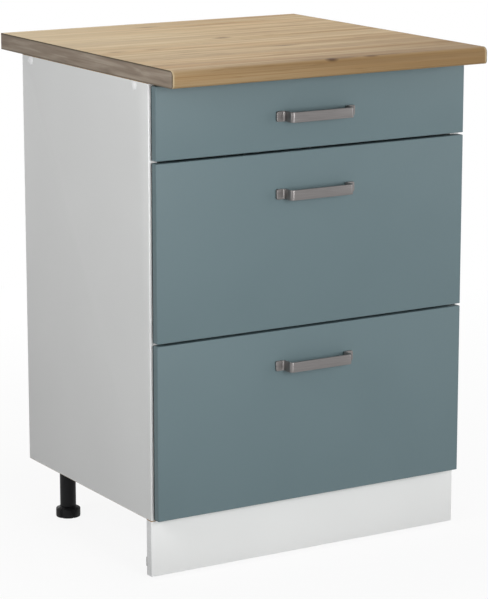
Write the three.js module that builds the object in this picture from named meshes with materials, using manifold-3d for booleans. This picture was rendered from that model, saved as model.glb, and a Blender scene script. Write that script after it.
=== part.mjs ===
// Kitchen base cabinet with three drawers under a wood-look laminate worktop, on four levelling legs
// behind a clip-on plinth. Millimetres, +Z up, front towards -Y. The origin is on the floor, under the
// middle of the worktop.
import * as THREE from 'three';
import { mergeVertices } from 'three/addons/utils/BufferGeometryUtils.js';
import Module from 'manifold-3d';

const wasm = await Module();
wasm.setup();

// ---- driving dimensions ----

// carcass
const carcassWidth = 600;
const carcassHeight = 716;
const boardThickness = 16;
const backThickness = 3;
const backMargin = 2; // the nailed-on back stops this far inside the carcass's outline
const frontRailDepth = 89;
const rearRailDepth = 62;
const rearSpace = 38; // behind the slides, up to the carcass's rear edge

// screw cover caps, over the screws that hold the top rails
const capDiameter = 15;
const capRim = 0.8; // the cap's straight edge, under its dome
const capHeight = 3;
const capStemDiameter = 4.6;
const capStemLength = 8;

// worktop with a postformed front edge and a strip glued on each end
const worktopDepth = 600;
const worktopThickness = 28;
const worktopOverhang = 78; // in front of the carcass's front edge
const noseTopRadius = 9;
const noseBottomRadius = 5;
const endStripThickness = 1;

// legs
const legHeight = 100;
const legSideInset = 48; // leg's middle to the carcass's side
const legRearInset = 52; // leg's middle to the carcass's rear edge
const legFrontInset = 60; // leg's middle to the carcass's front edge
const legTubeDiameter = 28;
const legTubeWall = 3;
const legFlangeDiameter = 58;
const legFlangeThickness = 4;
const footDiameter = 43;
const footRimHeight = 15;
const footHeight = 19;
const footNotches = 6;
const footNotchRadius = 2.5;
const footChamfer = 1;
const footStemLength = 46;
const stemHeadroom = 6; // bore left over the screwed-in stem

// plinth board and its clips
const plinthThickness = 16;
const plinthFloorGap = 5;
const clipWall = 2.7;
const clipBandHeight = 14;
const clipPlateWidth = 36;
const clipPlateHeight = 40;
const clipPlateThickness = 3;
const clipOpening = 100; // degrees

// drawer fronts
const frontThickness = 16;
const frontStandOff = 3; // soft buffers between a front and the carcass's edges
const frontSideMargin = 3;
const frontGap = 4; // between two fronts
const lowestFrontRise = 3; // lowest front's lower edge over the carcass's lower edge
const topFrontDrop = 3; // top front's upper edge under the carcass's upper edge
const topFrontHeight = 119; // the two tall fronts share the rest of the carcass's height

// drawer boxes
const boxBoard = 12;
const boxLength = 400;
const tallBoxRise = 27; // box's lower edge over the front's lower edge
const tallBoxDrop = 84.5; // box's upper edge under the front's upper edge
const topBoxRise = 22;
const topBoxDrop = 27;
const boxFloor = 3;
const grooveDepth = 6;
const grooveRise = 12; // groove's lower side over the drawer side's lower edge

// ball-bearing slides, one each side of a drawer
const slideSpace = 12.5; // carcass side to drawer side
const slideLength = 400;
const slideHeight = 35;
const slideSheet = 1.2;
const slideRise = 30; // slide's middle over the drawer side's lower edge
const slideSetback = 2; // behind the carcass's front edge
const ballDiameter = 4.2;
const cageLength = 96;
const cageSheet = 0.8;
const cageRim = 0.6; // cage's strip beyond the balls
const ballsPerRow = 4;
const lipGap = 1.2; // between a rail's lips and the cage's web

// handles: a strip bent to two legs and two outward feet
const handleLength = 151;
const handleGripLength = 122;
const handleReach = 26;
const handleHeight = 17;
const handleStrip = 4;
const handleInnerBend = 2.5;
const bottomHandleDrop = 59; // front's upper edge to the handle's middle
const middleHandleDrop = 68;
const topHandleDrop = 64;

// clearances
const fitGap = 0.3; // between pieces that are plugged, clipped or slid together
const ballGap = 0.25; // between a ball and its track

// facets
const roundSteps = 24;
const smallRoundSteps = 12;
const cornerSteps = 6;
const domeSteps = 3;
const ballSteps = [6, 4];

// ---- derived places ----

const halfWidth = carcassWidth / 2;
const innerHalfWidth = halfWidth - boardThickness;
const worktopFront = -worktopDepth / 2;
const carcassFront = worktopFront + worktopOverhang;
const carcassDepth = Math.max(slideSetback + slideLength, boxLength - frontStandOff) + rearSpace;
const carcassRear = carcassFront + carcassDepth;
const carcassBottom = legHeight;
const carcassTop = carcassBottom + carcassHeight;
const railBottom = carcassTop - boardThickness;
const frontBack = carcassFront - frontStandOff;
const frontFace = frontBack - frontThickness;
const frontsHeight = carcassHeight - lowestFrontRise - topFrontDrop - 2 * frontGap;
const tallFrontHeight = (frontsHeight - topFrontHeight) / 2;
const LEFT = -1;
const RIGHT = 1;
const sides = [[LEFT, 'left'], [RIGHT, 'right']];

// from the bottom up
const drawers = [
  {
    name: 'bottom',
    frontHeight: tallFrontHeight,
    boxRise: tallBoxRise,
    boxDrop: tallBoxDrop,
    handleDrop: bottomHandleDrop,
  },
  {
    name: 'middle',
    frontHeight: tallFrontHeight,
    boxRise: tallBoxRise,
    boxDrop: tallBoxDrop,
    handleDrop: middleHandleDrop,
  },
  {
    name: 'top',
    frontHeight: topFrontHeight,
    boxRise: topBoxRise,
    boxDrop: topBoxDrop,
    handleDrop: topHandleDrop,
  },
];

// ---- finishes ----

const finish = (color, roughness, metalness) =>
  new THREE.MeshStandardMaterial({ color, roughness, metalness });
const whiteBoard = () => finish('#ececec', 0.5, 0);
const hardboard = () => finish('#e4e2dc', 0.7, 0);
const oakLaminate = () => finish('#bfa47c', 0.55, 0);
const endStrip = () => finish('#8d8072', 0.6, 0);
const blueGreyFront = () => finish('#6f8388', 0.6, 0);
const brushedNickel = () => finish('#8f8d8b', 0.35, 1);
const zincSteel = () => finish('#b9bcbf', 0.35, 1);
const blackPlastic = () => finish('#1d1d1d', 0.6, 0);
const whitePlastic = () => finish('#f2f2f2', 0.4, 0);

// ---- helpers ----

const cabinet = new THREE.Group();

function piece(name, geometry, material) {
  const mesh = new THREE.Mesh(geometry, material);
  mesh.name = name;
  cabinet.add(mesh);
  return mesh;
}

// a box from its lowest to its highest corner
function block([x0, y0, z0], [x1, y1, z1]) {
  const box = new THREE.BoxGeometry(x1 - x0, y1 - y0, z1 - z0);
  return box.translate((x0 + x1) / 2, (y0 + y1) / 2, (z0 + z1) / 2);
}

const drawnOut = (outline, depth) =>
  new THREE.ExtrudeGeometry(outline, { depth, bevelEnabled: false, curveSegments: cornerSteps });

// an outline in (y, z), drawn out from x0 to x1
function alongX(outline, x0, x1) {
  const turn = new THREE.Matrix4().makeBasis(
    new THREE.Vector3(0, 1, 0), new THREE.Vector3(0, 0, 1), new THREE.Vector3(1, 0, 0));
  return drawnOut(outline, x1 - x0).applyMatrix4(turn).translate(x0, 0, 0);
}

// an outline in (x, z), drawn out from y0 to y1
function alongY(outline, y0, y1) {
  return drawnOut(outline, y1 - y0).rotateX(Math.PI / 2).translate(0, y1, 0);
}

// an outline in (x, y), drawn out from z0 to z1
function alongZ(outline, z0, z1) {
  return drawnOut(outline, z1 - z0).translate(0, 0, z0);
}

// a profile of [radius, height] pairs turned about the Z axis
function turned(profile, segments) {
  const points = profile.map(([radius, height]) => new THREE.Vector2(radius, height));
  return new THREE.LatheGeometry(points, segments).rotateX(Math.PI / 2);
}

const outlineOf = (points) => new THREE.Shape(points.map(([x, y]) => new THREE.Vector2(x, y)));

function toSolid(geometry) {
  const bare = geometry.clone();
  bare.deleteAttribute('normal');
  bare.deleteAttribute('uv');
  const merged = mergeVertices(bare, 1e-4);
  return new wasm.Manifold(new wasm.Mesh({
    numProp: 3,
    vertProperties: new Float32Array(merged.attributes.position.array),
    triVerts: new Uint32Array(merged.index.array),
  }));
}

function toGeometry(solid) {
  const mesh = solid.getMesh();
  const geometry = new THREE.BufferGeometry();
  geometry.setAttribute('position', new THREE.BufferAttribute(mesh.vertProperties, 3));
  geometry.setIndex(new THREE.BufferAttribute(mesh.triVerts, 1));
  geometry.computeVertexNormals();
  return geometry;
}

const without = (geometry, cutters) =>
  toGeometry(cutters.reduce((solid, cutter) => solid.subtract(toSolid(cutter)), toSolid(geometry)));

const joined = (geometries) =>
  toGeometry(geometries.map(toSolid).reduce((solid, other) => solid.add(other)));

// ---- carcass ----

const capPlaces = [
  ['front', carcassFront + frontRailDepth / 2],
  ['rear', carcassRear - rearRailDepth / 2],
];
const capLevel = carcassTop - Math.max(boardThickness, capDiameter + fitGap * 2) / 2; // clear of the worktop

// screw hole in a side panel, which a cap's stem plugs
function capHole(side, y) {
  const radius = capStemDiameter / 2 + fitGap;
  const depth = capStemLength + fitGap;
  const hole = new THREE.CylinderGeometry(radius, radius, depth * 2, smallRoundSteps).rotateZ(Math.PI / 2);
  return hole.translate(side * halfWidth, y, capLevel);
}

function sidePanel(side, sideName) {
  const outer = side * halfWidth;
  const inner = side * innerHalfWidth;
  const panel = block(
    [Math.min(outer, inner), carcassFront, carcassBottom],
    [Math.max(outer, inner), carcassRear, carcassTop]);
  const holes = capPlaces.map(([, y]) => capHole(side, y));
  piece(`side_panel_${sideName}`, without(panel, holes), whiteBoard());
}

// a low dome on a straight rim, with a stem behind it
function screwCap(side, sideName, place, y) {
  const radius = capDiameter / 2;
  const dome = Array.from({ length: domeSteps }, (_, i) => {
    const angle = i / domeSteps * Math.PI / 2;
    return [radius * Math.cos(angle), capRim + (capHeight - capRim) * Math.sin(angle)];
  });
  const cap = turned([
    [0, -capStemLength],
    [capStemDiameter / 2, -capStemLength],
    [capStemDiameter / 2, 0],
    [radius, 0],
    ...dome,
    [0, capHeight],
  ], roundSteps);
  const mesh = piece(`screw_cap_${place}_${sideName}`, cap.rotateY(side * Math.PI / 2), whitePlastic());
  mesh.position.set(side * halfWidth, y, capLevel);
}

function carcass() {
  for (const [side, sideName] of sides) {
    sidePanel(side, sideName);
    for (const [place, y] of capPlaces) screwCap(side, sideName, place, y);
  }
  const between = (y0, y1, z0, z1) => block([-innerHalfWidth, y0, z0], [innerHalfWidth, y1, z1]);
  piece('bottom_panel',
    between(carcassFront, carcassRear, carcassBottom, carcassBottom + boardThickness), whiteBoard());
  piece('top_rail_front',
    between(carcassFront, carcassFront + frontRailDepth, railBottom, carcassTop), whiteBoard());
  piece('top_rail_rear',
    between(carcassRear - rearRailDepth, carcassRear, railBottom, carcassTop), whiteBoard());
  piece('back_panel', block(
    [-halfWidth + backMargin, carcassRear, carcassBottom + backMargin],
    [halfWidth - backMargin, carcassRear + backThickness, carcassTop - backMargin]), hardboard());
}

// ---- worktop ----

function worktopOutline() {
  const rear = worktopFront + worktopDepth;
  const top = carcassTop + worktopThickness;
  const outline = new THREE.Shape();
  outline.moveTo(rear, carcassTop);
  outline.lineTo(rear, top);
  outline.lineTo(worktopFront + noseTopRadius, top);
  outline.absarc(worktopFront + noseTopRadius, top - noseTopRadius,
    noseTopRadius, Math.PI / 2, Math.PI, false);
  outline.lineTo(worktopFront, carcassTop + noseBottomRadius);
  outline.absarc(worktopFront + noseBottomRadius, carcassTop + noseBottomRadius,
    noseBottomRadius, Math.PI, Math.PI * 1.5, false);
  return outline;
}

function worktop() {
  const core = halfWidth - endStripThickness;
  piece('worktop', alongX(worktopOutline(), -core, core), oakLaminate());
  piece('worktop_end_left', alongX(worktopOutline(), -halfWidth, -core), endStrip());
  piece('worktop_end_right', alongX(worktopOutline(), core, halfWidth), endStrip());
}

// ---- legs ----

const legRadius = legTubeDiameter / 2;
const legBore = legRadius - legTubeWall;
const frontLegY = carcassFront + legFrontInset;
const rearLegY = carcassRear - legRearInset;
const legX = halfWidth - legSideInset;

function legTube() {
  const boreTop = footHeight + footStemLength + stemHeadroom;
  const flangeBottom = legHeight - legFlangeThickness;
  return turned([
    [0, boreTop],
    [legBore, boreTop],
    [legBore, footHeight],
    [legRadius, footHeight],
    [legRadius, flangeBottom - legTubeWall],
    [legRadius + legTubeWall, flangeBottom],
    [legFlangeDiameter / 2, flangeBottom],
    [legFlangeDiameter / 2, legHeight],
    [0, legHeight],
  ], roundSteps);
}

// a screw-in foot with grip notches round its rim
function legFoot() {
  const rim = footDiameter / 2;
  const stem = legBore - fitGap;
  const top = footHeight - fitGap;
  const stemTop = footHeight + footStemLength;
  const body = turned([
    [0, 0],
    [rim - footChamfer, 0],
    [rim, footChamfer],
    [rim, footRimHeight],
    [legRadius + fitGap, top],
    [stem, top],
    [stem, stemTop - footChamfer],
    [stem - footChamfer, stemTop],
    [0, stemTop],
  ], roundSteps);
  const notches = Array.from({ length: footNotches }, (_, i) => {
    const angle = (i + 0.5) * 2 * Math.PI / footNotches;
    return new THREE.CylinderGeometry(footNotchRadius, footNotchRadius, footHeight * 2, smallRoundSteps)
      .rotateX(Math.PI / 2)
      .translate(rim * Math.cos(angle), rim * Math.sin(angle), 0);
  });
  return without(body, notches);
}

function legs() {
  for (const [side, sideName] of sides) {
    for (const [place, y] of [['front', frontLegY], ['rear', rearLegY]]) {
      piece(`leg_tube_${place}_${sideName}`, legTube(), blackPlastic()).position.set(side * legX, y, 0);
      piece(`leg_foot_${place}_${sideName}`, legFoot(), blackPlastic()).position.set(side * legX, y, 0);
    }
  }
}

// ---- plinth ----

const plinthBack = carcassFront + plinthThickness;
const plinthTop = legHeight - fitGap;

// a snap ring round the leg's tube, on an arm from a plate on the plinth's back
function plinthClip() {
  const level = (plinthFloorGap + plinthTop) / 2;
  const inner = legRadius + fitGap;
  const outer = inner + clipWall;
  const half = THREE.MathUtils.degToRad(clipOpening / 2);
  const start = Math.PI / 2 + half;
  const end = Math.PI * 2.5 - half;
  const ring = new THREE.Shape();
  ring.absarc(0, 0, outer, start, end, false);
  ring.absarc(0, 0, inner, end, start, true);
  const plateY = plinthBack - frontLegY;
  const z0 = level - clipBandHeight / 2;
  const z1 = level + clipBandHeight / 2;
  const arm = block(
    [-clipWall, plateY + clipPlateThickness / 2, z0], [clipWall, -inner - clipWall / 2, z1]);
  const plate = block(
    [-clipPlateWidth / 2, plateY, level - clipPlateHeight / 2],
    [clipPlateWidth / 2, plateY + clipPlateThickness, level + clipPlateHeight / 2]);
  return joined([alongZ(ring, z0, z1), arm, plate]);
}

function plinth() {
  piece('plinth_board', block(
    [-halfWidth, carcassFront, plinthFloorGap], [halfWidth, plinthBack, plinthTop]), whiteBoard());
  for (const [side, sideName] of sides) {
    piece(`plinth_clip_${sideName}`, plinthClip(), blackPlastic()).position.set(side * legX, frontLegY, 0);
  }
}

// ---- drawers ----

const boxHalfWidth = innerHalfWidth - slideSpace;
const boxRear = frontBack + boxLength;

// a drawer side with the groove that its floor slides into
function drawerSide(side, bottom, height) {
  const outer = side * boxHalfWidth;
  const inner = side * (boxHalfWidth - boxBoard);
  const groove = inner + side * grooveDepth;
  const grooveBottom = bottom + grooveRise;
  const grooveTop = grooveBottom + boxFloor + fitGap * 2;
  return alongY(outlineOf([
    [outer, bottom], [inner, bottom], [inner, grooveBottom], [groove, grooveBottom],
    [groove, grooveTop], [inner, grooveTop], [inner, bottom + height], [outer, bottom + height],
  ]), frontBack, boxRear);
}

function drawerBox(name, bottom, height) {
  for (const [side, sideName] of sides) {
    piece(`${name}_drawer_side_${sideName}`, drawerSide(side, bottom, height), whiteBoard());
  }
  const inside = boxHalfWidth - boxBoard;
  const floorBottom = bottom + grooveRise + fitGap;
  const floorTop = floorBottom + boxFloor;
  const floorHalf = inside + grooveDepth - fitGap;
  piece(`${name}_drawer_back`, block(
    [-inside, boxRear - boxBoard, floorTop], [inside, boxRear, bottom + height]), whiteBoard());
  piece(`${name}_drawer_floor`, block(
    [-floorHalf, frontBack + fitGap, floorBottom], [floorHalf, boxRear, floorTop]), hardboard());
}

// the strip's outline from above: feet flat on the front, legs out to the bar, every bend round
function handle() {
  const feet = handleLength / 2;
  const outer = handleGripLength / 2;
  const inner = outer - handleStrip;
  const tight = handleInnerBend;
  const wide = tight + handleStrip;
  const footBend = -wide; // middle of the bend between foot and leg
  const barBend = -handleReach + wide; // middle of the bend between leg and bar
  const outline = new THREE.Shape();
  outline.moveTo(-feet, 0);
  outline.lineTo(-feet, -handleStrip);
  outline.absarc(-outer - tight, footBend, tight, Math.PI / 2, 0, true);
  outline.absarc(-inner + tight, barBend, wide, Math.PI, Math.PI * 1.5, false);
  outline.absarc(inner - tight, barBend, wide, -Math.PI / 2, 0, false);
  outline.absarc(outer + tight, footBend, tight, Math.PI, Math.PI / 2, true);
  outline.lineTo(feet, -handleStrip);
  outline.lineTo(feet, 0);
  outline.absarc(outer + tight, footBend, wide, Math.PI / 2, Math.PI, false);
  outline.absarc(inner - tight, barBend, tight, 0, -Math.PI / 2, true);
  outline.absarc(-inner + tight, barBend, tight, -Math.PI / 2, -Math.PI, true);
  outline.absarc(-outer - tight, footBend, wide, 0, Math.PI / 2, false);
  return alongZ(outline, -handleHeight / 2, handleHeight / 2);
}

// ---- slides ----

const ballLevel = slideHeight / 2 - slideSheet - ballGap - ballDiameter / 2;
const innerRailHalf = ballLevel - ballDiameter / 2 - ballGap;
const slideLip = slideSpace - slideSheet - fitGap - cageSheet - lipGap;
const slideFront = carcassFront + slideSetback;
const slideRear = slideFront + slideLength;

// Depths into the slide are measured from the carcass side's inner face. The outline is a channel whose
// web starts at one depth and whose lips end at another, half a height each way from the slide's level.
function channel(side, webDepth, lipDepth, sheet, half, level) {
  const place = (depth) => side * (innerHalfWidth - depth);
  const web = place(webDepth);
  const inside = place(webDepth + Math.sign(lipDepth - webDepth) * sheet);
  const lip = place(lipDepth);
  return outlineOf([
    [web, level - half], [lip, level - half], [lip, level - half + sheet], [inside, level - half + sheet],
    [inside, level + half - sheet], [lip, level + half - sheet], [lip, level + half], [web, level + half],
  ]);
}

// a strip cage between the two rails, with a row of balls above and below
function ballCage(side, level) {
  const webDepth = slideSheet + fitGap;
  const ballDepth = slideSpace / 2;
  const lipDepth = ballDepth + ballDiameter / 2 + cageRim;
  const middle = (slideFront + slideRear) / 2; // at full travel this is the middle of what still overlaps
  const strip = alongY(channel(side, webDepth, lipDepth, cageSheet, ballLevel + cageSheet / 2, level),
    middle - cageLength / 2, middle + cageLength / 2);
  const pitch = cageLength / ballsPerRow;
  const balls = [];
  for (let i = 0; i < ballsPerRow; i += 1) {
    for (const row of [-1, 1]) {
      balls.push(new THREE.SphereGeometry(ballDiameter / 2, ...ballSteps).translate(
        side * (innerHalfWidth - ballDepth),
        middle + (i + 0.5) * pitch - cageLength / 2,
        level + row * ballLevel));
    }
  }
  return joined([strip, ...balls]);
}

function slides(name, level) {
  for (const [side, sideName] of sides) {
    const fixed = channel(side, 0, slideLip, slideSheet, slideHeight / 2, level);
    const moving = channel(side, slideSpace, slideSpace - slideLip, slideSheet, innerRailHalf, level);
    piece(`${name}_slide_carcass_rail_${sideName}`, alongY(fixed, slideFront, slideRear), zincSteel());
    piece(`${name}_slide_drawer_rail_${sideName}`, alongY(moving, slideFront, slideRear), zincSteel());
    piece(`${name}_slide_ball_cage_${sideName}`, ballCage(side, level), zincSteel());
  }
}

// ---- assembly ----

function drawer({ name, frontHeight, boxRise, boxDrop, handleDrop }, frontBottom) {
  const reach = halfWidth - frontSideMargin;
  const frontTop = frontBottom + frontHeight;
  const boxBottom = frontBottom + boxRise;
  const boxHeight = frontHeight - boxRise - boxDrop;
  piece(`${name}_drawer_front`,
    block([-reach, frontFace, frontBottom], [reach, frontBack, frontTop]), blueGreyFront());
  piece(`${name}_drawer_handle`, handle(), brushedNickel()).position.set(0, frontFace, frontTop - handleDrop);
  drawerBox(name, boxBottom, boxHeight);
  slides(name, boxBottom + slideRise);
}

carcass();
worktop();
legs();
plinth();
let frontBottom = carcassBottom + lowestFrontRise;
for (const size of drawers) {
  drawer(size, frontBottom);
  frontBottom += size.frontHeight + frontGap;
}

export default cabinet;
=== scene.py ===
# Kitchen base cabinet with three drawers: boards, foil fronts, laminate worktop, strip handles,
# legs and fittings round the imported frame. Metres, +Z up, drawer fronts towards -Y.
import math
import bmesh
import bpy
from mathutils import Matrix, Vector


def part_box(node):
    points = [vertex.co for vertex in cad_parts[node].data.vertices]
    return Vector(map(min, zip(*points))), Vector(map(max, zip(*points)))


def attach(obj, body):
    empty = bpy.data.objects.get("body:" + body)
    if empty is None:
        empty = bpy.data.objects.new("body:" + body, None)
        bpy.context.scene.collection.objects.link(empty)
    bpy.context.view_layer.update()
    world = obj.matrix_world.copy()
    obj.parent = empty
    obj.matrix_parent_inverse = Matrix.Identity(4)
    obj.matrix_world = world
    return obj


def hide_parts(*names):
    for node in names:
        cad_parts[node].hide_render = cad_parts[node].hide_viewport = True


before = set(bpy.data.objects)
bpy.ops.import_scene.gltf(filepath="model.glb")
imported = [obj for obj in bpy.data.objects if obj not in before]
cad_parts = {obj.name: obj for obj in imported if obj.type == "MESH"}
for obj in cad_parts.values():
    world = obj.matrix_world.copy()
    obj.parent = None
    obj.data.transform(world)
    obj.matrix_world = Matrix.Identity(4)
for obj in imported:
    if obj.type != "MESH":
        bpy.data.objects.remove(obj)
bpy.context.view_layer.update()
print("frame loaded,", len(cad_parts), "nodes")

mm = 0.001
samePoint = 0.001 * mm  # points nearer than this are one
leftRight = (("left", -1), ("right", 1))
frontRear = ("front", "rear")
drawerNames = ("bottom", "middle", "top")


cameraValues = {
    "place": (-2.2577, -3.7449, 1.3594),
    "azimuth": 31.205,  # degrees from +Y towards +X
    "tilt": 12.457,  # degrees down
    "lens": 155.4,  # mm
}


def makeCamera():
    v = cameraValues
    data = bpy.data.cameras.new("camera")
    data.lens = v["lens"]
    camera = bpy.data.objects.new("camera", data)
    bpy.context.scene.collection.objects.link(camera)
    azimuth, tilt = math.radians(v["azimuth"]), math.radians(v["tilt"])
    ahead = Vector((
        math.sin(azimuth) * math.cos(tilt),
        math.cos(azimuth) * math.cos(tilt),
        -math.sin(tilt)))
    camera.location = v["place"]
    camera.rotation_euler = ahead.to_track_quat("-Z", "Y").to_euler()
    bpy.context.scene.camera = camera


makeCamera()
print("camera made")


def linear(hexColour):  # sRGB hex to the linear colour that a shader takes
    channels = [int(hexColour[i:i + 2], 16) / 255 for i in (1, 3, 5)]
    return [c / 12.92 if c <= 0.04045 else ((c + 0.055) / 1.055) ** 2.4 for c in channels] + [1]


# feeds: what goes into each input, a node's first output or an output picked from it
def connect(tree, node, feeds):
    for name, source in feeds.items():
        if isinstance(source, bpy.types.Node):
            source = next(output for output in source.outputs if output.enabled)
        tree.links.new(source, node.inputs[name])


def addNode(tree, kind, settings, feeds=None):
    node = tree.nodes.new("ShaderNode" + kind)
    for name, value in settings.items():
        if name == "stops":  # a ramp's (position, hex colour) pairs
            elements = node.color_ramp.elements
            while len(elements) < len(value):
                elements.new(1)
            for element, (position, colour) in zip(elements, value):
                element.position = position
                element.color = linear(colour)
        elif isinstance(name, int) or name in node.inputs:
            node.inputs[name].default_value = value
        else:
            setattr(node, name, value)
    connect(tree, node, feeds or {})
    return node


def startMaterial(name, values):
    material = bpy.data.materials.new(name)
    material.use_nodes = True
    shader = material.node_tree.nodes["Principled BSDF"]
    shader.inputs["Base Color"].default_value = linear(values["colour"])
    for socket, key in (("Roughness", "roughness"), ("Metallic", "metallic"), ("IOR", "ior")):
        if key in values:
            shader.inputs[socket].default_value = values[key]
    return material, material.node_tree, shader


# the object's own coordinates counted from a place, one unit of pattern every size, both in mm
def patternSpace(tree, size, place=(0, 0, 0)):
    own = addNode(tree, "TexCoord", {}).outputs["Object"]
    settings = {"vector_type": "TEXTURE", "Location": Vector(place) * mm, "Scale": Vector(size) * mm}
    return addNode(tree, "Mapping", settings, {"Vector": own})


# a colour laid over another: none of it where the pattern is at the span's first value, and the
# most where it is at the second
def layer(tree, under, pattern, span, most, colour):
    settings = {"From Min": span[0], "From Max": span[1], "To Max": most}
    share = addNode(tree, "MapRange", settings, {"Value": pattern})
    return addNode(tree, "Mix", {"data_type": "RGBA", 7: linear(colour)}, {0: share, 6: under})


# noises whose size patternSpace gives, by how much fine detail they hold
softNoise = {"Scale": 1, "Detail": 1}
plainNoise = {"Scale": 1, "Detail": 2}
fineNoise = {"Scale": 1, "Detail": 3}
noiseSpan = {"From Min": 0.3, "From Max": 0.7}  # where most of a noise's values lie


melamineValues = {
    "colour": "#f1f2f1",
    "roughness": 0.42,
    "ior": 1.5,
    "cloud": (180, 180, 180),
    "tones": [(0.3, "#f1f2f1"), (0.7, "#eeefee")],
    "pearl": (2.5, 2.5, 2.5),  # real pearl grain is 0.3 mm, drawn this coarse so that it shows
    "sheen": {**noiseSpan, "To Min": 0.38, "To Max": 0.48},
    "relief": {"Distance": 0.03 * mm, "Strength": 0.6},
}


def melamineFacing():
    # white melamine paper pressed on chipboard: a faint pearl grain breaks up a satin sheen
    v = melamineValues
    material, tree, shader = startMaterial("pressedWhiteMelamine", v)
    cloud = addNode(tree, "TexNoise", softNoise, {"Vector": patternSpace(tree, v["cloud"])})
    pearl = addNode(tree, "TexNoise", softNoise, {"Vector": patternSpace(tree, v["pearl"])})
    connect(tree, shader, {
        "Base Color": addNode(tree, "ValToRGB", {"stops": v["tones"]}, {"Fac": cloud}),
        "Roughness": addNode(tree, "MapRange", v["sheen"], {"Value": pearl}),
        "Normal": addNode(tree, "Bump", v["relief"], {"Height": pearl}),
    })
    return material


edgeBandValues = {
    "colour": "#fafbfb",
    "roughness": 0.34,
    "ior": 1.54,
    "marks": (60, 60, 1.2),  # scraper marks run round the board's edge
    "tones": [(0.35, "#fafbfb"), (0.7, "#f4f5f5")],
    "sheen": {**noiseSpan, "To Min": 0.3, "To Max": 0.4},
}


def edgeBand():
    # extruded ABS edging, scraped flush: a shade smoother and brighter than the facing
    v = edgeBandValues
    material, tree, shader = startMaterial("scrapedWhiteAbsEdging", v)
    marks = addNode(tree, "TexNoise", plainNoise, {"Vector": patternSpace(tree, v["marks"])})
    connect(tree, shader, {
        "Base Color": addNode(tree, "ValToRGB", {"stops": v["tones"]}, {"Fac": marks}),
        "Roughness": addNode(tree, "MapRange", v["sheen"], {"Value": marks}),
    })
    return material


chipboardValues = {
    "colour": "#b4905f",
    "roughness": 0.9,
    "flake": (5, 5, 1.6),  # pressed flakes lie flat in the board
    "chips": [(0.0, "#7c5a36"), (0.35, "#a98353"), (0.7, "#c8a473"), (1.0, "#dcc193")],
    "relief": {"Distance": 0.4 * mm, "Strength": 0.5},
}


def sawnChipboard():
    # sawn chipboard: flakes of several browns with small open pits between them
    v = chipboardValues
    material, tree, shader = startMaterial("sawnChipboard", v)
    flakes = addNode(tree, "TexVoronoi", {"Scale": 1}, {"Vector": patternSpace(tree, v["flake"])})
    grey = addNode(tree, "RGBToBW", {}, {"Color": flakes.outputs["Color"]})
    connect(tree, shader, {
        "Base Color": addNode(tree, "ValToRGB", {"stops": v["chips"]}, {"Fac": grey}),
        "Normal": addNode(tree, "Bump", v["relief"], {"Height": flakes.outputs["Distance"]}),
    })
    return material


mattedFibre = {"Scale": 1, "Detail": 4, "Roughness": 0.7, "Distortion": 1.5}  # raw or under lacquer
hardboardValues = {
    "colour": "#8a6846",
    "roughness": 0.75,
    "fibre": (7, 7, 1.5),
    "fibres": [(0.2, "#6d4f33"), (0.5, "#8b6947"), (0.85, "#a3815a")],
    "relief": {"Distance": 0.12 * mm, "Strength": 0.6},
}


def rawHardboard():
    # pressed wood fibre: fine matted brown fibres, slightly felted
    v = hardboardValues
    material, tree, shader = startMaterial("pressedHardboard", v)
    fibre = addNode(tree, "TexNoise", mattedFibre, {"Vector": patternSpace(tree, v["fibre"])})
    connect(tree, shader, {
        "Base Color": addNode(tree, "ValToRGB", {"stops": v["fibres"]}, {"Fac": fibre}),
        "Normal": addNode(tree, "Bump", v["relief"], {"Height": fibre}),
    })
    return material


lacquerValues = {
    "colour": "#e3e1db",
    "roughness": 0.55,
    "fibre": (7, 7, 1.5),
    "tones": [(0.4, "#e3e1db"), (0.75, "#d9d7d0")],
    "relief": {"Distance": 0.06 * mm, "Strength": 0.5},
}


def lacqueredHardboard():
    # the same board rolled with thin white lacquer: fibres still print through it
    v = lacquerValues
    material, tree, shader = startMaterial("lacqueredHardboard", v)
    fibre = addNode(tree, "TexNoise", mattedFibre, {"Vector": patternSpace(tree, v["fibre"])})
    connect(tree, shader, {
        "Base Color": addNode(tree, "ValToRGB", {"stops": v["tones"]}, {"Fac": fibre}),
        "Normal": addNode(tree, "Bump", v["relief"], {"Height": fibre}),
    })
    return material


foilValues = {
    "colour": "#62767b",
    "roughness": 0.5,
    "ior": 1.46,
    "cloud": (140, 140, 140),
    "tones": [(0.3, "#62767b"), (0.7, "#64787d")],
    "grain": (3, 3, 3),  # real leather-fine grain is 0.2 mm, drawn this coarse so that it shows
    "sheen": {**noiseSpan, "To Min": 0.46, "To Max": 0.56},
    "relief": {"Distance": 0.02 * mm, "Strength": 0.5},
}


def foilFront():
    # blue-grey PVC foil drawn over milled fibreboard under vacuum: matt, even, softly rounded edges
    v = foilValues
    material, tree, shader = startMaterial("vacuumFormedPvcFoil", v)
    cloud = addNode(tree, "TexNoise", softNoise, {"Vector": patternSpace(tree, v["cloud"])})
    grain = addNode(tree, "TexNoise", plainNoise, {"Vector": patternSpace(tree, v["grain"])})
    connect(tree, shader, {
        "Base Color": addNode(tree, "ValToRGB", {"stops": v["tones"]}, {"Fac": cloud}),
        "Roughness": addNode(tree, "MapRange", v["sheen"], {"Value": grain}),
        "Normal": addNode(tree, "Bump", v["relief"], {"Height": grain}),
    })
    return material


# painted shade for the gap behind each drawer front
gapShadeValues = {
    "colour": "#121618",
    "roughness": 0.9,
    "ior": 1.15,
    "wander": (30, 30, 30),
    "tones": [(0.3, "#121618"), (0.7, "#1e2426")],
}


def paintedGapShade():
    # painted shade: a dark band on the back of the front's edges, where the drawn foil ends and the gap
    # behind the front lies in shadow
    v = gapShadeValues
    material, tree, shader = startMaterial("paintedGapShade", v)
    wander = addNode(tree, "TexNoise", plainNoise, {"Vector": patternSpace(tree, v["wander"])})
    colour = addNode(tree, "ValToRGB", {"stops": v["tones"]}, {"Fac": wander})
    connect(tree, shader, {"Base Color": colour})
    return material


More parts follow.
